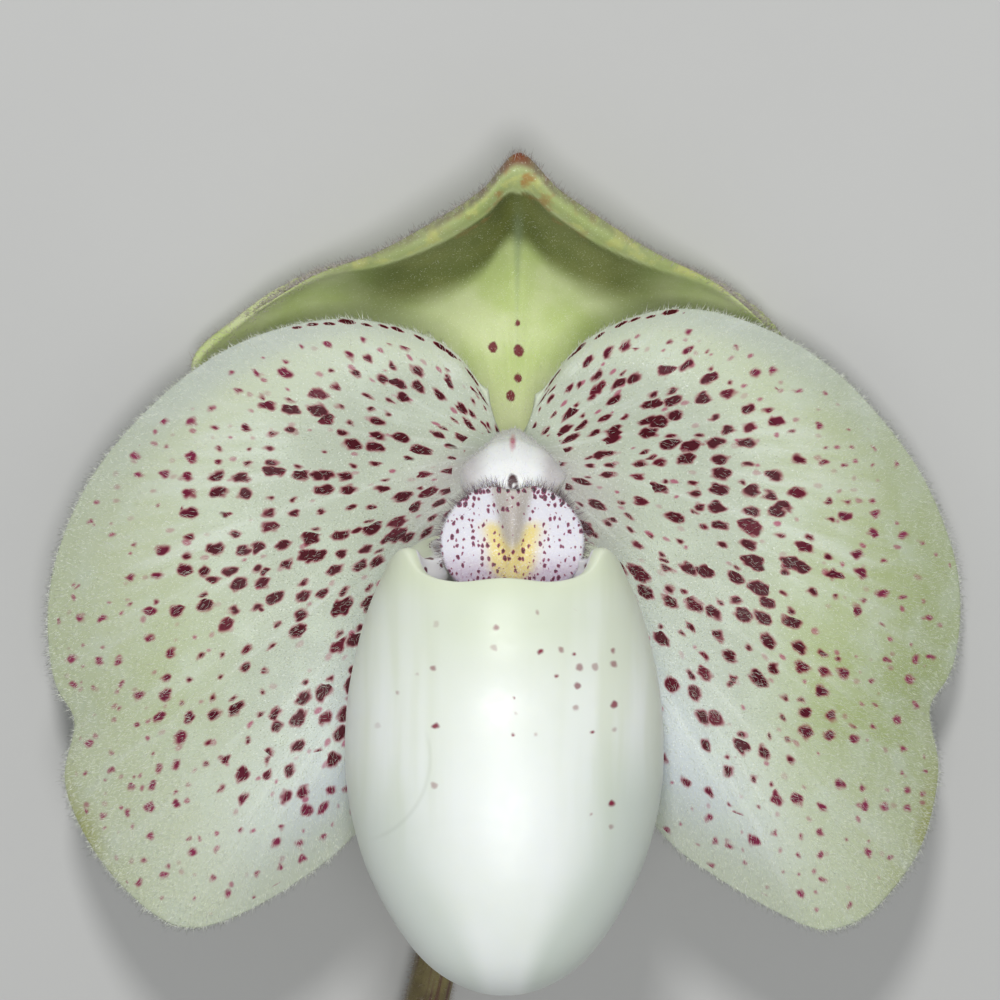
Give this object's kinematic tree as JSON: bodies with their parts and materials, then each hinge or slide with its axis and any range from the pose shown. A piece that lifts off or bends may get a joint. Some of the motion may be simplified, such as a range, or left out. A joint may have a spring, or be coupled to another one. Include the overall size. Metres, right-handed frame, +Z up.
{
  "type": "paphiopedilum orchid bloom",
  "caption": "Spotted slipper orchid bloom with a hooded sepal, broad petals, a hollow pouch and a short cut stalk, lying face up.",
  "frame": {"origin": "On the surface that the picked bloom lies on, under the middle of its bounding box.", "axes": "+Z up, +Y from the cut end of the stem towards the tip of the hood, +X to the right of someone who looks at the flower's face with the hood at the top. The face looks up, tipped 16 degrees towards +Y."},
  "size_m": [0.0716, 0.089, 0.0406],
  "materials": {
    "dorsal_sepal": "soft, finely downy",
    "synsepal": "soft, finely downy",
    "petals": "soft, finely downy",
    "lip_pouch": "waxy",
    "column": "waxy",
    "staminode": "finely downy",
    "stigma": "moist",
    "anthers": "waxy",
    "ovary": "downy",
    "bract": "matt",
    "stem": "downy"
  },
  "bodies": {
    "root": {"dorsal_sepal": "dorsal_sepal", "synsepal": "synsepal", "petal_left": "petals", "petal_right": "petals", "lip_pouch": "lip_pouch", "column": "column", "staminode": "staminode", "stigma": "stigma", "anther_left": "anthers", "anther_right": "anthers", "ovary": "ovary", "bract": "bract", "stem": "stem"}
  },
  "joints": []
}
